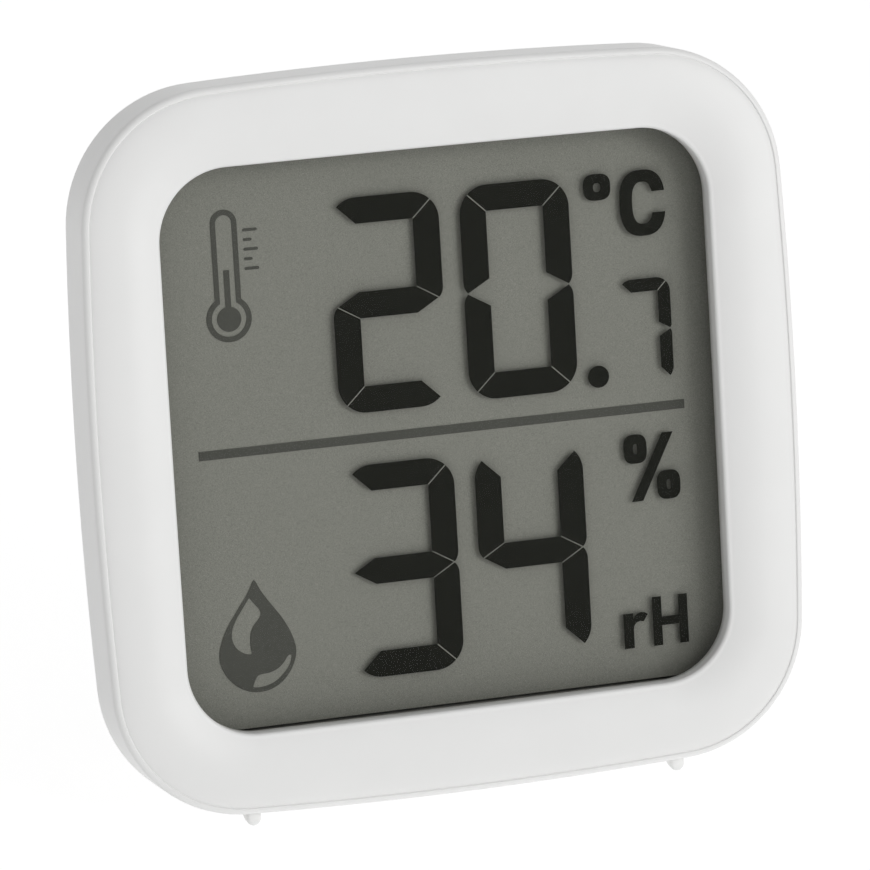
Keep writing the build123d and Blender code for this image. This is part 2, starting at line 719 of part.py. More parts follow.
def plus_plane():
    """Middle of the plate that the nub touches."""
    return CELL_X + CELL_L / 2 + (SEAT_GAP + CONTACT_T) / 2


def minus_plane():
    """Middle of the plate that carries the spring leaf."""
    return BAY_LEFT + SEAT_GAP + CONTACT_T / 2


def leg_block(x, grow, front, back):
    """Leg of a contact, or the slot that it passes through."""
    half_t = CONTACT_T / 2 + grow
    half_w = LEG_W / 2 + grow
    return block(x - half_t, x + half_t, front, back, CELL_Z - half_w, CELL_Z + half_w)


def contact_plate(x):
    """Upright plate at one end of the bay, with a leg down to the board."""
    face = Pos(x, CELL_Z) * Rectangle(CONTACT_T, CONTACT_W)
    plate = slab(face, BAY_FLOOR, CASE_DEPTH - DOOR_T - CONTACT_TOP)
    return plate + leg_block(x, 0, BOARD_BACK, BAY_FLOOR)


def battery_contact_plus():
    """Flat contact for the nub of the cell."""
    return contact_plate(plus_plane())


def battery_contact_minus():
    """Contact with a bowed spring leaf that presses on the flat end of the cell."""
    root = minus_plane() - CONTACT_T / 2
    tip = CELL_X - CELL_L / 2 - SEAT_GAP / 2
    half = LEAF_HALF
    outer = ThreePointArc((root, CELL_DEPTH - half), (tip, CELL_DEPTH), (root, CELL_DEPTH + half))
    foot = half - 2 * CONTACT_T
    inner = ThreePointArc(
        (root, CELL_DEPTH - foot), (tip - CONTACT_T, CELL_DEPTH), (root, CELL_DEPTH + foot))
    front = Line((root, CELL_DEPTH - half), (root, CELL_DEPTH - foot))
    back = Line((root, CELL_DEPTH + half), (root, CELL_DEPTH + foot))
    leaf = make_face([outer, back, inner, front])
    return contact_plate(minus_plane()) + extrude(Pos(0, 0, CELL_Z - LEAF_W / 2) * leaf, amount=LEAF_W)


def door_face(grow):
    """Outline of the battery door, round at its upper corners."""
    face = Rectangle(DOOR_W + 2 * grow, DOOR_H + 2 * grow)
    face = fillet(face.vertices().group_by(Axis.Y)[-1], DOOR_R + grow)
    return Pos(0, CELL_Z) * face


def battery_door():
    """Flush door with a round hinge edge, two pins and a springy thumb tongue."""
    plate = slab(door_face(0), CASE_DEPTH - DOOR_T, CASE_DEPTH)
    half = DOOR_W / 2
    plate -= block(-half, half, CASE_DEPTH - DOOR_T, CASE_DEPTH, DOOR_LOW, DOOR_PIVOT_Z)
    plate += pin_along_x(-half, half, DOOR_PIVOT_Y, DOOR_PIVOT_Z, DOOR_T / 2)
    plate += pin_along_x(-half - DOOR_PIN_L, half + DOOR_PIN_L, DOOR_PIVOT_Y, DOOR_PIVOT_Z, DOOR_PIN_R)
    top = DOOR_LOW + DOOR_H
    for sign in (-1, 1):
        x = sign * (TONGUE_W + TONGUE_SLOT) / 2
        slot = (x - TONGUE_SLOT / 2, x + TONGUE_SLOT / 2)
        plate -= block(*slot, CASE_DEPTH - DOOR_T, CASE_DEPTH, top - TONGUE_L, top)
    for step in range(GRIP_RIDGES):
        z = top - (step + 1.5) * GRIP_PITCH
        groove = pin_along_x(-TONGUE_W / 2 + GRIP_PITCH, TONGUE_W / 2 - GRIP_PITCH, CASE_DEPTH, z, GRIP_RIDGE)
        plate -= groove
    return plate


def stand_reach():
    """Height of the stand's hinge over the table."""
    return leaned_height(STAND_HINGE_Y, STAND_HINGE_Z) - TABLE


def stand():
    """Flap that holds the case up: hinge barrel with stop, cored plate and flat sole."""
    beta = math.radians(STAND_OPEN - LEAN)
    inner = STAND_BARREL_R - STAND_T
    outer = STAND_BARREL_R
    sole_in = -(stand_reach() + inner * math.sin(beta)) / math.cos(beta)
    sole_out = -(stand_reach() + outer * math.sin(beta)) / math.cos(beta)
    room = STAND_HEAD_Z - STAND_HINGE_Z - STAND_STOP
    heel = room / (math.sqrt(2) * math.sin(math.radians(45 + STAND_OPEN)))
    profile = make_face(Polyline([(inner, 0), (outer, 0), (outer, sole_out), (inner, sole_in)], close=True))
    profile += Circle(STAND_BARREL_R) + Pos(heel / 2, heel / 2) * Rectangle(heel, heel)
    half = STAND_W / 2
    body = across(profile, -half, half)
    body += pin_along_x(-half - STAND_PIN_L, half + STAND_PIN_L, 0, 0, STAND_PIN_R)
    pitch = (STAND_W - 2 * STAND_RIM + STAND_RIB) / STAND_POCKETS
    for step in range(STAND_POCKETS):
        x0 = -half + STAND_RIM + step * pitch
        x1 = x0 + pitch - STAND_RIB
        body -= block(x0, x1, inner, inner + STAND_CORE, sole_in + STAND_SOLE, -2 * STAND_BARREL_R)
    nail = pin_along_x(-NAIL_W / 2, NAIL_W / 2, outer + NAIL_R - NAIL_DEEP, sole_in + STAND_SOLE, NAIL_R)
    body -= nail
    return Pos(0, STAND_HINGE_Y, STAND_HINGE_Z) * Rot(STAND_OPEN, 0, 0) * body


NODES = {
    "front_frame": front_frame(),
    "lens_tape": lens_tape(),
    "display_lens": display_lens(),
    "lcd_front_polariser": lcd_front_polariser(),
    "lcd_glass": lcd_glass(),
    "lcd_reflector": lcd_reflector(),
    "lcd_holder": lcd_holder(),
    "zebra_strips": zebra_strips(),
    "circuit_board": circuit_board(),
    "board_screws": board_screws(),
    "controller_blob": controller_blob(),
    "humidity_sensor": humidity_sensor(),
    "quartz_crystal": quartz_crystal(),
    "chip_components": chip_components(),
    "tact_switch": tact_switch(),
    "switch_plunger": switch_plunger(),
    "unit_button": unit_button(),
    "rear_shell": rear_shell(),
    "battery_contact_plus": battery_contact_plus(),
    "battery_contact_minus": battery_contact_minus(),
    "battery_cell": battery_cell(),
    "battery_sleeve": battery_sleeve(),
    "battery_door": battery_door(),
    "stand": stand(),
}

# Lean the case back and set it on the table, centred over the origin
leaned = {}
for name, shape in NODES.items():
    solids = shape if isinstance(shape, list) else [shape]
    leaned[name] = [Rot(-LEAN, 0, 0) * solid for solid in solids]
boxes = [solid.bounding_box() for solids in leaned.values() for solid in solids]
MIDDLE = (min(box.min.Y for box in boxes) + max(box.max.Y for box in boxes)) / 2
for name, solids in leaned.items():
    placed = [Pos(0, -MIDDLE, -TABLE) * solid for solid in solids]
    export_step(placed[0] if len(placed) == 1 else Compound(children=placed), f"parts/{name}.step")


def on_table(x, y, z):
    """Place of a point of the upright case once the case stands on the table."""
    return (x, round(leaned_depth(y, z) - MIDDLE, 4), round(leaned_height(y, z) - TABLE, 4))


print("Stand hinge", on_table(0, STAND_HINGE_Y, STAND_HINGE_Z))
print("Door hinge", on_table(0, DOOR_PIVOT_Y, DOOR_PIVOT_Z))
print("Keyhole", on_table(0, CASE_DEPTH, KEYHOLE_Z))
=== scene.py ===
# %% [markdown]
# # Thermo-hygrometer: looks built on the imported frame
# A square white desk instrument, 70 mm wide, that leans back on a fold-out stand. Its front is
# one pillow-shaped moulding round a deep-set liquid-crystal display. Everything here is in
# metres in the frame's own axes; sizes of the case are written in millimetres, in the case's
# upright axes: x to the right, y from the rim of the front to the back, z up.

# %% Start: load the frame
import math

import bpy
from mathutils import Matrix, Vector


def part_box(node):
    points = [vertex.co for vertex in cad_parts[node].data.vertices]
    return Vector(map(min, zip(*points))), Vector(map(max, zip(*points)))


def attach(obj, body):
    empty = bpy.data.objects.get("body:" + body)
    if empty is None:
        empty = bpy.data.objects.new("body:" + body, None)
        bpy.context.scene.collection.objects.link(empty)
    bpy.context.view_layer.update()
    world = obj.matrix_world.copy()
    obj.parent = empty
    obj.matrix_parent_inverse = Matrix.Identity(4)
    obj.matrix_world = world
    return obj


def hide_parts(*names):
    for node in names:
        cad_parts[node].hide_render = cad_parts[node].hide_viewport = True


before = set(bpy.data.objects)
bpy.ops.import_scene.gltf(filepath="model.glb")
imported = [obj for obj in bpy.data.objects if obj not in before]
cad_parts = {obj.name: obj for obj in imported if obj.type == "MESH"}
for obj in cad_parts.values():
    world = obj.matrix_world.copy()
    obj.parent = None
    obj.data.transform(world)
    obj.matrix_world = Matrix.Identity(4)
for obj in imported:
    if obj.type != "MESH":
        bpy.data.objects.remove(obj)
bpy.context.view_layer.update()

# %% [markdown]
# ## From the upright case to the leaning one
# The case leans back by 10.4 degrees. The display's clear window is a flat slab whose middle
# sits on the case's own axis, so the middle of its box gives the place of the case, whatever
# the frame's height over the table is.

# %% The leaning axes
MM = 0.001
LEAN = math.radians(10.4)
LENS_MIDDLE = 2.75


def node_middle(name):
    """Middle of a frame node's box."""
    low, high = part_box(name)
    return (Vector(low) + Vector(high)) / 2


turn = Matrix.Rotation(-LEAN, 4, "X")
place = Matrix.Translation(node_middle("display_lens") - (turn @ Vector((0, LENS_MIDDLE * MM, 0))))
CASE = place @ turn @ Matrix.Scale(MM, 4)


def leaned(x, y, z):
    """A point of the upright case, in mm, where it lies in the frame."""
    return CASE @ Vector((x, y, z))


print("case origin (mm):", [round(v / MM, 3) for v in leaned(0, 0, 0)])

# %% [markdown]
# ## Materials: helpers
# Colours are written as sRGB hex values and turned linear by one function. One helper adds a
# node with its settings and links. A value that is a socket becomes a link, anything else is
# set on the socket itself.

# %% Material helpers
def linear(hexa):
    """Linear RGBA of an sRGB hex colour."""
    shares = [int(hexa[i:i + 2], 16) / 255 for i in (1, 3, 5)]
    light = [p / 12.92 if p <= 0.04045 else ((p + 0.055) / 1.055) ** 2.4 for p in shares]
    return (*light, 1.0)


def put(tree, kind, wires=None, **settings):
    """Adds a node. Settings are its own properties, wires its inputs."""
    node = tree.nodes.new("ShaderNode" + kind)
    for name, value in settings.items():
        setattr(node, name, value)
    for name, value in (wires or {}).items():
        socket = node.inputs[name]
        if isinstance(value, bpy.types.NodeSocket):
            tree.links.new(value, socket)
        else:
            socket.default_value = value
    return node


def blank(name):
    """New material with an empty tree."""
    made = bpy.data.materials.new(name)
    made.use_nodes = True
    made.node_tree.nodes.clear()
    return made, made.node_tree


def close(tree, shader):
    """Ends a tree in its surface output."""
    put(tree, "OutputMaterial", {"Surface": shader})


def grain(tree, size, detail=2.0, rough=0.5):
    """Noise whose features are about that many millimetres, in the object's own axes."""
    where = put(tree, "TexCoord").outputs["Object"]
    wires = {"Vector": where, "Scale": 1 / (size * MM), "Detail": detail, "Roughness": rough}
    return put(tree, "TexNoise", wires).outputs["Fac"]


def spread(tree, value, low, high):
    """Maps a 0 to 1 value to a range."""
    return put(tree, "MapRange", {"Value": value, "To Min": low, "To Max": high}).outputs["Result"]


def tinted(tree, value, dark, light):
    """Colour between two hex values."""
    wires = {"Factor": value, "A": linear(dark), "B": linear(light)}
    return put(tree, "Mix", wires, data_type="RGBA").outputs["Result"]


# %% [markdown]
# ## Moulded plastics
# The front is glossy-satin white ABS from a stone-polished mould: a very shallow waviness of
# about 0.6 mm and a roughness near 0.4. The back, the door and the stand come from a
# spark-eroded mould, whose grain of about 0.12 mm (drawn 0.18 mm so that it holds at picture
# size) makes them matt. The key is the same plastic with grey pigment.

# %% Plastics
ABS_IOR = 1.53
MOTTLE_MM = 6.0
SKIN_SWING = 0.04
COAT_ROUGHNESS = 0.25


def plastic(name, dark, light, roughness, bump_size, bump_mm, coat=0.0):
    """Moulded ABS with a mottled tone, a varying roughness and a fine relief."""
    made, tree = blank(name)
    tone = tinted(tree, grain(tree, MOTTLE_MM), dark, light)
    relief = grain(tree, bump_size, 3.0)
    haze = grain(tree, bump_size * 3)
    bump = put(tree, "Bump", {"Strength": 1.0, "Distance": bump_mm * MM, "Height": relief})
    skin = put(tree, "BsdfPrincipled", {
        "Base Color": tone,
        "Roughness": spread(tree, haze, roughness - SKIN_SWING, roughness + SKIN_SWING),
        "IOR": ABS_IOR,
        "Coat Weight": coat,
        "Coat Roughness": COAT_ROUGHNESS,
        "Normal": bump.outputs["Normal"]})
    close(tree, skin.outputs[0])
    return made


SATIN_ABS = plastic(
    "satin_white_abs_polished_mould", "#F0F0EF", "#F4F4F3",
    roughness=0.42, bump_size=0.6, bump_mm=0.0006, coat=0.1)
MATT_ABS = plastic(
    "matt_white_abs_eroded_mould", "#E6E6E4", "#ECECEA",
    roughness=0.62, bump_size=0.18, bump_mm=0.010)
GREY_ABS = plastic(
    "grey_abs_eroded_mould", "#8E9092", "#96989A",
    roughness=0.55, bump_size=0.18, bump_mm=0.008)
BLACK_ABS = plastic(
    "black_abs_moulded", "#161616", "#1C1C1C",
    roughness=0.5, bump_size=0.25, bump_mm=0.008)
WHITE_POM = plastic(
    "natural_pom_moulded", "#DEDCD2", "#E6E4DA",
    roughness=0.38, bump_size=0.3, bump_mm=0.003)
print("plastics:", [m.name for m in bpy.data.materials if "abs" in m.name])

# %% [markdown]
# ## Display materials
# The window is hard-coated acrylic, 1 mm thick and almost free of reflections, so only a small
# share of its surface is drawn and the rest lets the picture through. Plate glass is the same
# idea with a faint green. The reflector is the brushed film that gives such displays their
# grey-green ground; its sparkle of about 0.09 mm is the grain that shows in close view. The
# switched-on segments are nearly black and almost without gloss, so that they stay dark under
# the window, and the printed signs that never change are lighter.

# %% Display materials
POLISH_MM = 4.0
FILM_SWING = 0.05


def clear(name, colour, share, ior):
    """Thin clear sheet: mostly see-through, with a small share of its own surface."""
    made, tree = blank(name)
    haze = spread(tree, grain(tree, POLISH_MM), 0.04, 0.08)
    skin = put(tree, "BsdfPrincipled", {
        "Base Color": linear(colour), "Roughness": haze, "IOR": ior, "Alpha": share})
    close(tree, skin.outputs[0])
    return made


def film(name, dark, light, roughness, size, gloss=0.2):
    """Opaque film with a fine two-tone grain."""
    made, tree = blank(name)
    fine = put(tree, "MapRange", {
        "Value": grain(tree, size, 1.0), "From Min": 0.3, "From Max": 0.7}).outputs["Result"]
    skin = put(tree, "BsdfPrincipled", {
        "Base Color": tinted(tree, fine, dark, light),
        "Roughness": spread(tree, fine, roughness - FILM_SWING, roughness + FILM_SWING),
        "Specular IOR Level": gloss})
    close(tree, skin.outputs[0])
    return made


ACRYLIC = clear("hard_coated_acrylic", "#20221F", share=0.03, ior=1.49)
PLATE_GLASS = clear("display_plate_glass", "#2A3028", share=0.03, ior=1.52)
REFLECTOR = film("grey_green_reflector_film", "#7C7D75", "#93948B", roughness=0.6, size=0.09)
INK_ON = film("switched_on_segment", "#1D1E1A", "#21221D", roughness=0.7, size=0.3, gloss=0.05)
INK_STILL = film("printed_sign", "#4A4B45", "#50514B", roughness=0.6, size=0.3)
print("films and clear sheets:", [m.name for m in (ACRYLIC, PLATE_GLASS, REFLECTOR, INK_ON, INK_STILL)])

# %% [markdown]
# ## Inner and metal parts
# They are seen only through the slots or with the battery door open: nickel-plated spring
# steel, the cell's steel can, its shrunk sleeve, the glass-fibre board with green resist. Only
# the grey silicone rubber that joins display and board also shows as a hair line in front, at
# the lower edge of the display.

# %% Metals and board
MARK_DEPTH_MM = 0.002
METAL_SWING = 0.06


def metal(name, dark, light, roughness, size):
    """Plated metal with fine drawing marks."""
    made, tree = blank(name)
    marks = grain(tree, size, 4.0)
    bump = put(tree, "Bump", {"Strength": 0.6, "Distance": MARK_DEPTH_MM * MM, "Height": marks})
    skin = put(tree, "BsdfPrincipled", {
        "Base Color": tinted(tree, marks, dark, light),
        "Metallic": 1.0,
        "Roughness": spread(tree, marks, roughness - METAL_SWING, roughness + METAL_SWING),
        "Normal": bump.outputs["Normal"]})
    close(tree, skin.outputs[0])
    return made


NICKEL = metal("nickel_plated_spring_steel", "#B9B6AE", "#CFCCC4", roughness=0.28, size=0.4)
CAN_STEEL = metal("nickel_plated_can", "#BEBCB6", "#D2D0CA", roughness=0.22, size=0.8)
ZINC = metal("zinc_plated_screw_steel", "#A9ABAE", "#C0C2C5", roughness=0.33, size=0.3)
SLEEVE = film("shrunk_battery_sleeve", "#2B2F33", "#33383D", roughness=0.35, size=0.8)
RESIST = film("green_solder_resist", "#0F4A2C", "#155634", roughness=0.35, size=0.4)
RESIN = film("black_potting_resin", "#0E0E0E", "#151515", roughness=0.3, size=0.8)
CERAMIC = film("chip_ceramic", "#6A5A48", "#75654F", roughness=0.5, size=0.2)
RUBBER = film("grey_silicone_contact_rubber", "#7E7E78", "#90908A", roughness=0.7, size=0.1)
TAPE = film("black_foam_tape", "#121212", "#181818", roughness=0.85, size=0.15)
print("metals:", [m.name for m in (NICKEL, CAN_STEEL, ZINC)])

# %% [markdown]
# ## Which finish goes where
# The record gives each node a material slot with a plain name. The finishes could be set node by
# node; one table from slot to finish is shorter, and nodes that share a slot stay alike.

# %% Finishes by slot

FINISH = {
    "white_housing": SATIN_ABS, "white_back": MATT_ABS, "grey_button": GREY_ABS,
    "clear_lens": ACRYLIC, "black_tape": TAPE, "polariser_film": INK_ON,
    "lcd_glass": PLATE_GLASS, "lcd_reflector": REFLECTOR, "black_holder": BLACK_ABS,
    "contact_rubber": RUBBER, "board_laminate": RESIST, "plated_screw": ZINC,
    "black_resin": RESIN, "sensor_body": BLACK_ABS, "crystal_can": NICKEL,
    "chip_ceramic": CERAMIC, "switch_body": BLACK_ABS, "switch_plunger": WHITE_POM,
    "plated_contact": NICKEL, "battery_steel": CAN_STEEL, "battery_sleeve": SLEEVE}

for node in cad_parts.values():
    for holder in node.material_slots:
        holder.material = FINISH[holder.material.name]
print("finishes given to", len(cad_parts), "frame nodes")

# %% [markdown]
# ## Mesh helper
# Each piece made here is a mesh in frame metres, rides on one body and takes the finish it is given.

# %% Mesh helper
def piece(name, points, faces, finish, slot, body="case", smooth=True):
    """Mesh piece from upright case points in mm."""
    mesh = bpy.data.meshes.new(name)
    mesh.from_pydata([leaned(*p) for p in points], [], faces)
    mesh.validate()
    mesh.update()
    mesh.materials.append(finish)
    for polygon in mesh.polygons:
        polygon.use_smooth = smooth
    made = bpy.data.objects.new(name, mesh)
    bpy.context.collection.objects.link(made)
    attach(made, body)
    return made


# %% [markdown]
# ## Outline of the case
# The four sides of the real moulding are arcs of nearly half a metre radius that run into 13 mm
# corners. A ring is a quarter of that outline, mirrored four times, always with the same
# number of points, so that rings of different sizes join point to point.

# %% Outline rings
CASE_W, CASE_H, SIDE_BOW, CORNER_R = 70.0, 69.6, 470.0, 13.0
WINDOW_W, WINDOW_H, WINDOW_BOW, WINDOW_R = 54.3, 53.6, 3000.0, 6.8
RIM_W = 0.65
SIDE_STEPS, CORNER_STEPS = 14, 22


def arc(cx, cz, radius, start, end, steps):
    """Points along an arc, its last one left out."""
    turns = [start + (end - start) * i / steps for i in range(steps)]
    return [(cx + radius * math.cos(t), cz + radius * math.sin(t)) for t in turns]


def ring(width, height, bow, corner):
    """Closed ring of points round a rounded rectangle with bowed sides."""
    u, v = width / 2 - bow, height / 2 - bow
    reach, slope = bow - corner, u / v
    offset = (v * v - u * u) / (2 * v)
    a, b = 1 + slope * slope, 2 * (offset * slope - u)
    c = u * u + offset * offset - reach * reach
    cx = (-b + math.sqrt(b * b - 4 * a * c)) / (2 * a)
    cz = offset + slope * cx
    side, top = math.atan2(cz, cx - u), math.atan2(cz - v, cx)
    quarter = arc(u, 0, bow, 0, side, SIDE_STEPS)
    quarter += arc(cx, cz, corner, side, top, CORNER_STEPS)
    quarter += arc(0, v, bow, top, math.pi / 2, SIDE_STEPS)
    last = [(0.0, height / 2)]
    left = [(-x, z) for x, z in reversed(quarter)]
    upper = quarter + last + left
    lower = [(x, -z) for x, z in reversed(upper[1:-1])]
    return upper + lower


def case_ring(inset):
    """Ring moved in from the outside of the case."""
    return ring(CASE_W - 2 * inset, CASE_H - 2 * inset, SIDE_BOW - inset, CORNER_R - inset)


def face_ring(share):
    """Ring between the crease (0) and the edge of the window (1)."""
    def mix(outer, inner):
        return outer + (inner - outer) * share
    bow = 1 / mix(1 / (SIDE_BOW - RIM_W), 1 / WINDOW_BOW)
    width, height = mix(CASE_W - 2 * RIM_W, WINDOW_W), mix(CASE_H - 2 * RIM_W, WINDOW_H)
    return ring(width, height, bow, mix(CORNER_R - RIM_W, WINDOW_R))


print("points in a ring:", len(case_ring(0)))

# %% [markdown]
# ## Front frame
# The real part is one injection moulding. From the back of its side wall the section runs
# forward, turns over a soft edge onto a narrow rim, dips into a fine crease and swells into a
# flat pillow, which falls again towards the window and ends in a rounded lip. Drawing it as
# rings along that section keeps the shading smooth where the light slides over it.

# %% Front frame
SIDE_DEPTH, FRAME_WALL, FACE_BACK = 6.1, 1.6, 2.1
EDGE_ROUND, CREASE_DEPTH, CREASE_HALF = 0.55, 0.15, 0.05
CREST_RISE, CREST_SHARE, CREST_FULLNESS = 0.35, 0.45, 0.6
LIP_DROP, LIP_ROUND = 0.3, 0.4
BACK_BREAK = 0.15
WALL_DEPTHS = (4.5, 3.0, 1.5, 0.8)
EDGE_STEPS, CREST_STEPS, BROW_STEPS, LIP_STEPS = 10, 26, 20, 8
CREST_CROWDING = 1.6
CREASE_SHOULDER = 0.7
WELL_DEPTH = 1.4


def frame_rings():
    """(ring, depth) pairs round the whole section of the front frame."""
    rings = [(case_ring(FRAME_WALL), SIDE_DEPTH), (case_ring(BACK_BREAK), SIDE_DEPTH)]
    rings += [(case_ring(0), SIDE_DEPTH - BACK_BREAK * k) for k in (1, 2)]
    rings += [(case_ring(0), depth) for depth in WALL_DEPTHS]
    for step in range(EDGE_STEPS + 1):
        angle = math.pi / 2 * step / EDGE_STEPS
        inset = EDGE_ROUND * (1 - math.cos(angle))
        rings.append((case_ring(inset), EDGE_ROUND * (1 - math.sin(angle))))
    rings.append((case_ring(RIM_W - CREASE_HALF), 0.0))
    rings.append((case_ring(RIM_W - CREASE_HALF / 2), CREASE_DEPTH * CREASE_SHOULDER))
    for step in range(1, CREST_STEPS + 1):
        part = (step / CREST_STEPS) ** CREST_CROWDING
        rise = (1 - (1 - part) ** 2) ** CREST_FULLNESS
        depth = CREASE_DEPTH - (CREASE_DEPTH + CREST_RISE) * rise
        rings.append((face_ring(part * CREST_SHARE), depth))
    lip_start = 1 - LIP_ROUND / (CASE_W / 2 - RIM_W - WINDOW_W / 2)
    for step in range(1, BROW_STEPS + 1):
        part = step / BROW_STEPS
        share = CREST_SHARE + part * (lip_start - CREST_SHARE)
        rings.append((face_ring(share), (CREST_RISE + LIP_DROP) * part ** 2 - CREST_RISE))
    for step in range(1, LIP_STEPS + 1):
        angle = math.pi / 2 * step / LIP_STEPS
        share = lip_start + (1 - lip_start) * math.sin(angle)
        rings.append((face_ring(share), LIP_DROP + LIP_ROUND * (1 - math.cos(angle))))
    rings += [(face_ring(1), WELL_DEPTH), (face_ring(1), FACE_BACK)]
    rings += [(case_ring(FRAME_WALL), FACE_BACK)]
    return rings


def join_rings(rings):
    """Points and faces of a closed skin through a loop of rings."""
    points = [(x, depth, z) for outline, depth in rings for x, z in outline]
    count, total = len(rings[0][0]), len(rings)
    faces = []
    for i in range(total):
        for j in range(count):
            k = (j + 1) % count
            n = (i + 1) % total
            faces.append((i * count + j, n * count + j, n * count + k, i * count + k))
    return points, faces


front_rings = frame_rings()
bezel = piece("front_moulding", *join_rings(front_rings), SATIN_ABS, "white_housing")
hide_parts("front_frame")
print("front moulding:", len(bezel.data.vertices), "points,", len(front_rings), "rings")

# %% [markdown]
# ## Front feet
# Two narrow tongues under the front keep the case from sliding. Each is level with the table
# for about a millimetre, then rises to the back, with a round underside.

# %% Front feet
FOOT_SPREAD, FOOT_W, FOOT_DROP, FOOT_FRONT = 42.6, 1.45, 0.95, 1.3
FOOT_LEVEL, FOOT_RISE = 1.1, math.radians(27)
FOOT_NOSE, NOSE_STEPS, FOOT_ARC_STEPS = 0.35, 4, 12
FOOT_ROOT = 0.8
FOOT_BACKS = (0.0, 0.5, 1.0, 1.5)


def foot_section(x, y, bottom, half):
    """U-shaped section of a foot at one depth, open at the top inside the frame."""
    top = -CASE_H / 2 + FOOT_ROOT
    angles = [math.pi * k / FOOT_ARC_STEPS for k in range(FOOT_ARC_STEPS + 1)]
    round_part = [(x - half * math.cos(a), y, bottom + half * (1 - math.sin(a))) for a in angles]
    return [(x - half, y, top)] + round_part + [(x + half, y, top)]


def foot(name, x):
    """Tongue made of sections from its nose to its heel."""
    low, half = -CASE_H / 2 - FOOT_DROP, FOOT_W / 2
    heel = low + FOOT_LEVEL * math.tan(LEAN)
    sections = []
    for step in range(NOSE_STEPS + 1):
        angle = math.pi / 2 * step / NOSE_STEPS
        shrink = FOOT_NOSE * (1 - math.sin(angle))
        y = FOOT_FRONT + FOOT_NOSE * (1 - math.cos(angle))
        bottom = low + (y - FOOT_FRONT) * math.tan(LEAN)
        sections.append(foot_section(x, y, bottom + shrink, half - shrink))
    for back in FOOT_BACKS:
        bottom = heel + back * math.tan(FOOT_RISE)
        sections.append(foot_section(x, FOOT_FRONT + FOOT_LEVEL + back, bottom, half))
    count = len(sections[0])
    points = [p for section in sections for p in section]
    faces = [tuple(reversed(range(count))), tuple(range(len(points) - count, len(points)))]
    for i in range(len(sections) - 1):
        for j in range(count):
            k = (j + 1) % count
            faces.append((i * count + j, i * count + k, (i + 1) * count + k, (i + 1) * count + j))
    return piece(name, points, faces, SATIN_ABS, "white_housing")


feet = [foot("front_foot_left", -FOOT_SPREAD / 2), foot("front_foot_right", FOOT_SPREAD / 2)]
print("feet:", [f.name for f in feet])

# %% [markdown]
# ## Display art: flat shapes with thickness
# On the real cell the segments are areas of liquid crystal between two glass plates; where one
# is switched on, the plate in front goes dark and its shadow falls on the reflector behind.
# A picture on the reflector could look much the same but would throw no such shadow, so thin
# solids hang over it. Each shape is a closed outline; a list of outlines makes one flat solid,
# with inner outlines as holes.

# %% Flat shapes
INK_DEPTH, INK_T = 3.75, 0.04
STILL_DEPTH = 4.27


def flat_solid(name, outlines, depth, finish):
    """Thin solid from outlines in mm on a plane of the display."""
    drawing = bpy.data.curves.new(name, "CURVE")
    drawing.dimensions = "2D"
    drawing.fill_mode = "BOTH"
    drawing.extrude = INK_T / 2
    for outline in outlines:
        line = drawing.splines.new("POLY")
        line.points.add(len(outline) - 1)
        for point, (x, z) in zip(line.points, outline):
            point.co = (x, z, 0, 1)
        line.use_cyclic_u = True
    holder = bpy.data.objects.new(name + "_drawing", drawing)
    bpy.context.collection.objects.link(holder)
    bpy.context.view_layer.update()
    mesh = bpy.data.meshes.new_from_object(holder)
    bpy.data.objects.remove(holder)
    bpy.data.curves.remove(drawing)
    points = [(v.co.x, depth - v.co.z, v.co.y) for v in mesh.vertices]
    faces = [tuple(p.vertices) for p in mesh.polygons]
    bpy.data.meshes.remove(mesh)
    return piece(name, points, faces, finish, "polariser_film", smooth=False)


def shifted(outline, dx, dz):
    """Outline moved on the display."""
    return [(x + dx, z + dz) for x, z in outline]


def mirrored(outline, sx, sz):
    """Outline mirrored about the middle of its digit."""
    return [(x * sx, z * sz) for x, z in outline]


# %% [markdown]
# ## Seven-segment digits
# The digit is a tall rounded frame with a waist. Its bars meet in mitres, and a gap of 0.1 mm
# of bare glass parts them. The big digits are 20.5 mm tall and the small one 10 mm.

# %% Digits
GAP = 0.1
LIT = {0: "abcdef", 2: "abged", 3: "abgcd", 4: "fgbc", 7: "abc"}
CORNER_POINTS, WAIST_POINTS = 10, 6
WAIST_RADII = 3.75
INNER_SLIP = 0.6


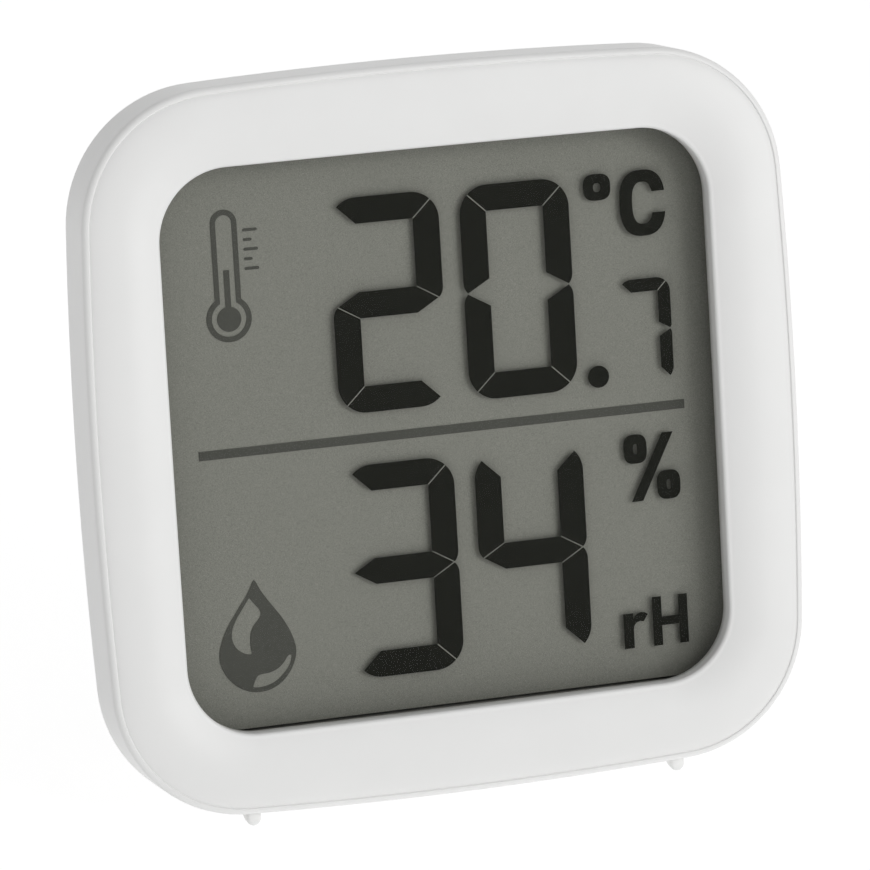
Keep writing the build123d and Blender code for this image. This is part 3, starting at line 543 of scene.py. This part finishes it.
def digit(number, cx, cz, half_w, half_h, bar_w, bar_h, corner, waist):
    """Outlines of the switched-on bars of one digit."""
    xi, zi = half_w - bar_w, half_h - bar_h
    half_bar = bar_h / 2
    slip = GAP / math.sqrt(2)
    lag = GAP / 2 / corner
    mid_x, waist_r = half_w - waist, WAIST_RADII * waist
    waist_z = math.sqrt(waist_r ** 2 - (waist_r - waist) ** 2)
    turn_x, turn_z, diagonal = half_w - corner, half_h - corner, math.pi / 4
    right = arc(turn_x, turn_z, corner, diagonal + lag, math.pi / 2, CORNER_POINTS)
    cap = [(xi - slip, zi)] + right + [(turn_x, half_h)]
    top = cap + [(-x, z) for x, z in reversed(cap)]
    shoulder = arc(turn_x, turn_z, corner, diagonal - lag, 0, CORNER_POINTS)
    hip_end = -math.acos((waist_r - waist) / waist_r)
    hip = arc(half_w - waist_r, waist_z + GAP / 2, waist_r, 0, hip_end, WAIST_POINTS)
    upper = [(xi, zi - slip)] + shoulder + hip
    upper += [(mid_x, GAP / 2), (xi, half_bar + GAP * INNER_SLIP)]
    reach = mid_x - GAP
    middle = [(reach, 0), (xi - GAP / 4, half_bar), (-xi + GAP / 4, half_bar), (-reach, 0),
              (-xi + GAP / 4, -half_bar), (xi - GAP / 4, -half_bar)]
    bars = {
        "a": top, "d": mirrored(top, 1, -1), "g": middle,
        "b": upper, "c": mirrored(upper, 1, -1),
        "f": mirrored(upper, -1, 1), "e": mirrored(upper, -1, -1)}
    return [shifted(bars[bar], cx, cz) for bar in LIT[number]]


# %% [markdown]
# ## Gaps between the bars
# Where two dark bars meet, their shadow falls on the ground in the gap between them. A strip of ground
# colour in the plane of the bars is painted light over that shade and keeps each gap light.

# %% Gaps
def strip(x0, z0, x1, z1, wide):
    """Straight strip between two points."""
    length = math.hypot(x1 - x0, z1 - z0)
    nx, nz = (z0 - z1) / length * wide / 2, (x1 - x0) / length * wide / 2
    return [(x0 + nx, z0 + nz), (x1 + nx, z1 + nz), (x1 - nx, z1 - nz), (x0 - nx, z0 - nz)]


def gaps(number, cx, cz, half_w, half_h, bar_w, bar_h, corner, waist):
    """Strips of painted light in ground colour between bars of one digit that are both switched on."""
    xi, zi = half_w - bar_w, half_h - bar_h
    slope = corner * (1 - math.sqrt(0.5))
    xo, zo = half_w - slope, half_h - slope
    xw = half_w - waist - GAP / 2
    ends = {"ab": (1, 1), "af": (-1, 1), "cd": (1, -1), "de": (-1, -1)}
    waists = {"bg": (1, 1), "cg": (1, -1), "fg": (-1, 1), "eg": (-1, -1)}
    found = []
    for pair, (sx, sz) in ends.items():
        if set(pair) <= set(LIT[number]):
            found.append(strip(sx * xi, sz * zi, sx * xo, sz * zo, GAP))
    for pair, (sx, sz) in waists.items():
        if set(pair) <= set(LIT[number]):
            found.append(strip(sx * xi, sz * (bar_h + GAP) / 2, sx * xw, 0, GAP))
    return [shifted(outline, cx, cz) for outline in found]


# %% [markdown]
# ## The reading
# Each digit size is given as half width, half height, width of the upright bars, width of the
# level bars, outer corner and depth of the waist. The reading is the one in the picture.

# %% The reading
BIG = (5.46, 10.22, 2.6, 2.5, 2.8, 0.4)
SMALL = (2.63, 5.0, 1.25, 1.25, 1.4, 0.15)
UPPER_Z, LOWER_Z = 12.28, -13.13
TENS_X, ONES_X = -4.52, 8.46
READING = [(2, TENS_X, UPPER_Z, BIG), (0, ONES_X, UPPER_Z, BIG), (3, TENS_X, LOWER_Z, BIG),
           (4, ONES_X, LOWER_Z, BIG), (7, 21.05, 7.05, SMALL)]
numerals, painted_gap_strips = [], []
for number, x, z, sizes in READING:
    numerals += digit(number, x, z, *sizes)
    painted_gap_strips += gaps(number, x, z, *sizes)
print("bars switched on:", len(numerals), "gaps between them:", len(painted_gap_strips))

# %% [markdown]
# ## Point and unit signs
# The degree sign, the C and the rings of the percent sign are superellipses, which is how
# display makers draw compact round letters.

# %% Unit signs
C_POWER, C_STEPS = 2.6, 40


def oval(cx, cz, half_w, half_h, power, steps=48):
    """Superellipse outline."""
    points = []
    for k in range(steps):
        t = 2 * math.pi * k / steps
        c, s = math.cos(t), math.sin(t)
        x = math.copysign(abs(c) ** (2 / power), c)
        z = math.copysign(abs(s) ** (2 / power), s)
        points.append((cx + half_w * x, cz + half_h * z))
    return points


def open_c(cx, cz, outer, inner, mouth):
    """Letter C: outer and inner superellipse, cut open on the right."""
    def half(sizes, turns):
        points = []
        for t in turns:
            c, s = math.cos(t), math.sin(t)
            x = math.copysign(abs(c) ** (2 / C_POWER), c) * sizes[0]
            z = math.copysign(abs(s) ** (2 / C_POWER), s) * sizes[1]
            points.append((cx + x, cz + z))
        return points

    def start(sizes):
        return math.asin((mouth / sizes[1]) ** (C_POWER / 2))
    a, b = start(outer), start(inner)
    out = [a + (2 * math.pi - 2 * a) * k / C_STEPS for k in range(C_STEPS + 1)]
    back = [2 * math.pi - b - (2 * math.pi - 2 * b) * k / C_STEPS for k in range(C_STEPS + 1)]
    return half(outer, out) + half(inner, back)


signs = [arc(16.0, 3.08, 1.06, 0, 2 * math.pi, 40)]
signs += [oval(16.83, 21.21, 1.37, 1.27, 2.9), oval(16.83, 21.17, 0.38, 0.43, 2.4)]
signs += [open_c(21.36, 19.31, (2.32, 3.17), (1.05, 2.02), 1.02)]
for x, z in ((19.3, -4.28), (22.55, -8.03)):
    signs += [oval(x, z, 1.18, 1.41, 3.0), oval(x, z, 0.22, 0.5, 3.0)]
signs += [[(22.1, -2.95), (23.2, -2.95), (19.85, -9.37), (18.72, -9.37)]]
signs += [[(17.2, -23.58), (18.2, -23.58), (18.2, -21.75), (18.27, -21.4), (18.5, -21.12),
           (18.85, -21.0), (19.25, -21.07), (19.7, -20.4), (19.4, -20.2), (19.0, -20.13),
           (18.65, -20.25), (18.38, -20.45), (18.2, -20.75), (18.2, -20.17), (17.2, -20.17)]]
signs += [[(20.2, -23.6), (21.12, -23.6), (21.12, -21.67), (22.87, -21.67), (22.87, -23.6),
           (23.78, -23.6), (23.78, -18.83), (22.87, -18.83), (22.87, -20.83), (21.12, -20.83),
           (21.12, -18.83), (20.2, -18.83)]]
ART_X, ART_Z = 0.21, -0.108
art = [shifted(outline, ART_X, ART_Z) for outline in numerals + signs]
segments = flat_solid("lcd_segments", art, INK_DEPTH, INK_ON)
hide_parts("lcd_front_polariser", "lcd_glass")
# The gap strips are painted light: ground colour laid in the bars' plane where their shadow falls.
placed_painted_gap_strips = [shifted(outline, ART_X, ART_Z) for outline in painted_gap_strips]
painted_light_gaps = flat_solid("lcd_painted_light_gaps", placed_painted_gap_strips, INK_DEPTH, REFLECTOR)
print("sign outlines:", len(signs), "faces of the gaps:", len(painted_light_gaps.data.polygons))

# %% [markdown]
# ## Printed signs
# The thermometer, the drop and the dividing line never change, so they are printed in a
# lighter tone on the cell's rear face and throw no shadow. The drop is drawn through a few
# measured points with a smooth closed line.

# %% Printed signs
def smooth_loop(points, steps=6):
    """Closed smooth line through points; a point given twice stays sharp."""
    count = len(points)
    line = []
    for i in range(count):
        p0, p1, p2, p3 = (points[(i + k) % count] for k in (-1, 0, 1, 2))
        if p1 == p2:
            continue
        for s in range(steps):
            t = s / steps
            line.append(tuple(
                0.5 * (2 * b + (c - a) * t + (2 * a - 5 * b + 4 * c - d) * t ** 2
                       + (3 * b - a - 3 * c + d) * t ** 3)
                for a, b, c, d in zip(p0, p1, p2, p3)))
    return line


def bar(x0, x1, z, thick):
    """Bar with round ends."""
    r = thick / 2
    left = arc(x0 + r, z, r, math.pi / 2, 3 * math.pi / 2, 8)
    return left + arc(x1 - r, z, r, -math.pi / 2, math.pi / 2, 8) + [(x1 - r, z + r)]


def flask(cx, top, bulb_z, tube_r, bulb_r):
    """Outline of a tube with a round top that opens into a round bulb."""
    neck = math.asin(tube_r / bulb_r)
    head = arc(cx, top - tube_r, tube_r, 0, math.pi, 20) + [(cx - tube_r, top - tube_r)]
    bowl = arc(cx, bulb_z, bulb_r, math.pi / 2 + neck, 5 * math.pi / 2 - neck, 40)
    return head + bowl + [(cx + tube_r, bulb_z + bulb_r * math.cos(neck))]


still = [flask(-20.2, 22.57, 12.28, 1.29, 2.2), flask(-20.2, 22.05, 12.28, 0.79, 1.68)]
mercury = flask(-20.2, 17.15, 12.25, 0.28, 1.18)
still += [[p for p in mercury if p[1] <= 16.87]]
for row in range(5):
    still += [bar(-18.4, -16.97 if row % 2 == 0 else -17.55, 20.47 - 0.907 * row, 0.29)]
still += [[(-24.0, 0.05), (24.57, 0.05), (24.57, -0.82), (-24.0, -0.82)]]
still += [smooth_loop([
    (-19.55, -12.75), (-19.43, -12.68), (-19.31, -12.75), (-18.8, -13.75), (-17.9, -15.1),
    (-17.0, -16.35), (-16.3, -17.6), (-15.85, -18.8), (-15.7, -19.7), (-15.85, -20.6),
    (-16.35, -21.65), (-17.2, -22.6), (-18.3, -23.2), (-19.48, -23.38), (-20.6, -23.2),
    (-21.7, -22.6), (-22.6, -21.65), (-23.12, -20.6), (-23.27, -19.7), (-23.15, -18.8),
    (-22.7, -17.6), (-22.0, -16.4), (-21.05, -15.1), (-20.15, -13.85)])]
still += [smooth_loop([
    (-20.05, -14.35), (-19.93, -14.4), (-19.5, -14.95), (-19.08, -15.5), (-18.98, -15.95),
    (-19.2, -16.4), (-19.7, -16.95), (-20.05, -17.6), (-20.16, -18.4), (-20.15, -19.1),
    (-20.07, -19.55), (-20.17, -19.68), (-20.75, -19.55), (-21.4, -19.1), (-21.8, -18.45),
    (-21.92, -17.75), (-21.78, -17.0), (-21.35, -16.15), (-20.85, -15.45), (-20.35, -14.75)])]
still += [smooth_loop([
    (-16.33, -20.15), (-16.2, -20.35), (-16.45, -21.1), (-16.95, -21.75), (-17.7, -22.4),
    (-18.6, -22.8), (-19.5, -22.93), (-20.05, -22.87), (-20.12, -22.75), (-19.9, -22.2),
    (-19.6, -21.8), (-19.1, -21.68), (-18.4, -21.62), (-17.6, -21.32), (-17.0, -20.82),
    (-16.6, -20.3)])]
DEEPER_X, DEEPER_Z = 0.38, -0.20
still_art = [shifted(outline, DEEPER_X, DEEPER_Z) for outline in still]
printed = flat_solid("lcd_printed_signs", still_art, STILL_DEPTH, INK_STILL)
print("printed outlines:", len(still), "faces:", len(printed.data.polygons))

# %% [markdown]
# ## Camera
# The picture was taken with a long lens from the left and above, about 0.57 m away. The
# camera's place and turn come from a fit to the outline, the window and the lean of the case.

# %% Camera
FOCAL_PIXELS, PICTURE = 6000, 870
SENSOR = 36.0
EYE = (-172.95, -529.35, 89.6)
RIGHT = (0.94695, -0.31614, -0.05779)
DOWN = (-0.10469, -0.13342, -0.98551)
AHEAD = (0.30385, 0.93928, -0.15944)
eye = leaned(*EYE)
right, down, ahead = (turn.to_3x3() @ Vector(way) for way in (RIGHT, DOWN, AHEAD))
view = bpy.data.cameras.new("photo_camera")
view.lens = FOCAL_PIXELS / PICTURE * SENSOR
view.sensor_width = SENSOR
view.clip_start, view.clip_end = 0.01, 20
camera = bpy.data.objects.new("photo_camera", view)
bpy.context.collection.objects.link(camera)
look = Matrix((right, -down, -ahead)).transposed().to_4x4()
camera.matrix_world = Matrix.Translation(eye) @ look
bpy.context.scene.camera = camera
bpy.context.scene.view_settings.view_transform = "Standard"
print("camera at (mm):", [round(v / MM, 1) for v in eye])

# %% [markdown]
# ## Floor, world and lamps
# The object stands on a plain white light table, as in a picture for a catalogue. A look at the
# background, straight or in a gloss, finds it white, because those rays get a colour of their
# own. For the object it is a soft studio that is brighter on the right, and the table's faint
# glow lights it from below. The key lamp stands up and to the right in front, the large soft
# lamp low on the right.

# %% Floor and world
TABLE_GLOW, TABLE_WHITE, TABLE_SHADE = 0.36, 0.86, 0.3
TABLE_HALF, TABLE_MOTTLE_MM = 3.0, 40.0
STUDIO_LEFT, STUDIO_RIGHT = 0.30, 0.62
WHITE = (1, 1, 1, 1)


def background_ray(tree):
    """1 for rays that meet the background: from the camera, in a gloss or through glass."""
    ray = put(tree, "LightPath").outputs
    wires = {0: ray["Is Camera Ray"], 1: ray["Is Glossy Ray"]}
    seen = put(tree, "Math", wires, operation="MAXIMUM").outputs[0]
    wires = {0: seen, 1: ray["Is Transmission Ray"]}
    return put(tree, "Math", wires, operation="MAXIMUM").outputs[0]


def make_floor():
    """White floor that keeps the object's shadow and reads as white to the camera."""
    made, tree = blank("white_floor")
    tone = tinted(tree, grain(tree, TABLE_MOTTLE_MM), "#E9E9E9", "#EEEEEE")
    paper = put(tree, "BsdfDiffuse", {"Color": tone}).outputs[0]
    lit = put(tree, "Emission", {"Color": WHITE, "Strength": TABLE_GLOW}).outputs[0]
    base = put(tree, "AddShader", {0: paper, 1: lit}).outputs[0]
    shade = (TABLE_SHADE, TABLE_SHADE, TABLE_SHADE, 1)
    faint = put(tree, "BsdfDiffuse", {"Color": shade}).outputs[0]
    glow = put(tree, "Emission", {"Color": WHITE, "Strength": TABLE_WHITE}).outputs[0]
    seen = put(tree, "AddShader", {0: faint, 1: glow}).outputs[0]
    mix = put(tree, "MixShader", {"Fac": background_ray(tree), 1: base, 2: seen})
    close(tree, mix.outputs[0])
    mesh = bpy.data.meshes.new("floor")
    half = TABLE_HALF
    corners = [(-half, -half, 0), (half, -half, 0), (half, half, 0), (-half, half, 0)]
    mesh.from_pydata(corners, [], [(0, 1, 2, 3)])
    mesh.materials.append(made)
    floor = bpy.data.objects.new("floor", mesh)
    bpy.context.collection.objects.link(floor)
    return floor


def make_world():
    """Soft studio for the object, brighter on its right, and white for the camera."""
    world = bpy.data.worlds.new("studio")
    bpy.context.scene.world = world
    world.use_nodes = True
    tree = world.node_tree
    tree.nodes.clear()
    way = put(tree, "SeparateXYZ", {0: put(tree, "TexCoord").outputs["Generated"]}).outputs["X"]
    level = put(tree, "MapRange", {
        "Value": way, "From Min": -1.0,
        "To Min": STUDIO_LEFT, "To Max": STUDIO_RIGHT}).outputs["Result"]
    soft = put(tree, "Background", {"Color": WHITE, "Strength": level}).outputs[0]
    white = put(tree, "Background", {"Color": WHITE, "Strength": 1.0}).outputs[0]
    mixed = put(tree, "MixShader", {"Fac": background_ray(tree), 1: soft, 2: white}).outputs[0]
    put(tree, "OutputWorld", {"Surface": mixed})


# %% [markdown]
# ## Lamps
# Two square soft lamps. The small one gives the segments their shadow to the left and below.
# The large one is as low as the table allows, which shades the pillow of the front as in the
# picture: brighter to the right and downwards.

# %% Lamps
def lamp(name, place_at, size, power):
    """Square soft lamp aimed at the middle of the case, with size in metres and power in watts."""
    light = bpy.data.lights.new(name, "AREA")
    light.size = size
    light.energy = power
    made = bpy.data.objects.new(name, light)
    bpy.context.collection.objects.link(made)
    aim = leaned(0, 3, 0)
    made.location = Vector(place_at)
    made.rotation_euler = (Vector(place_at) - aim).to_track_quat("Z", "Y").to_euler()
    return made


make_floor()
make_world()
lamp("key_up_right", (0.42, -0.95, 0.62), size=0.3, power=1.2)
lamp("soft_low_right", (0.9, -1.2, 0.2), size=0.8, power=5.8)
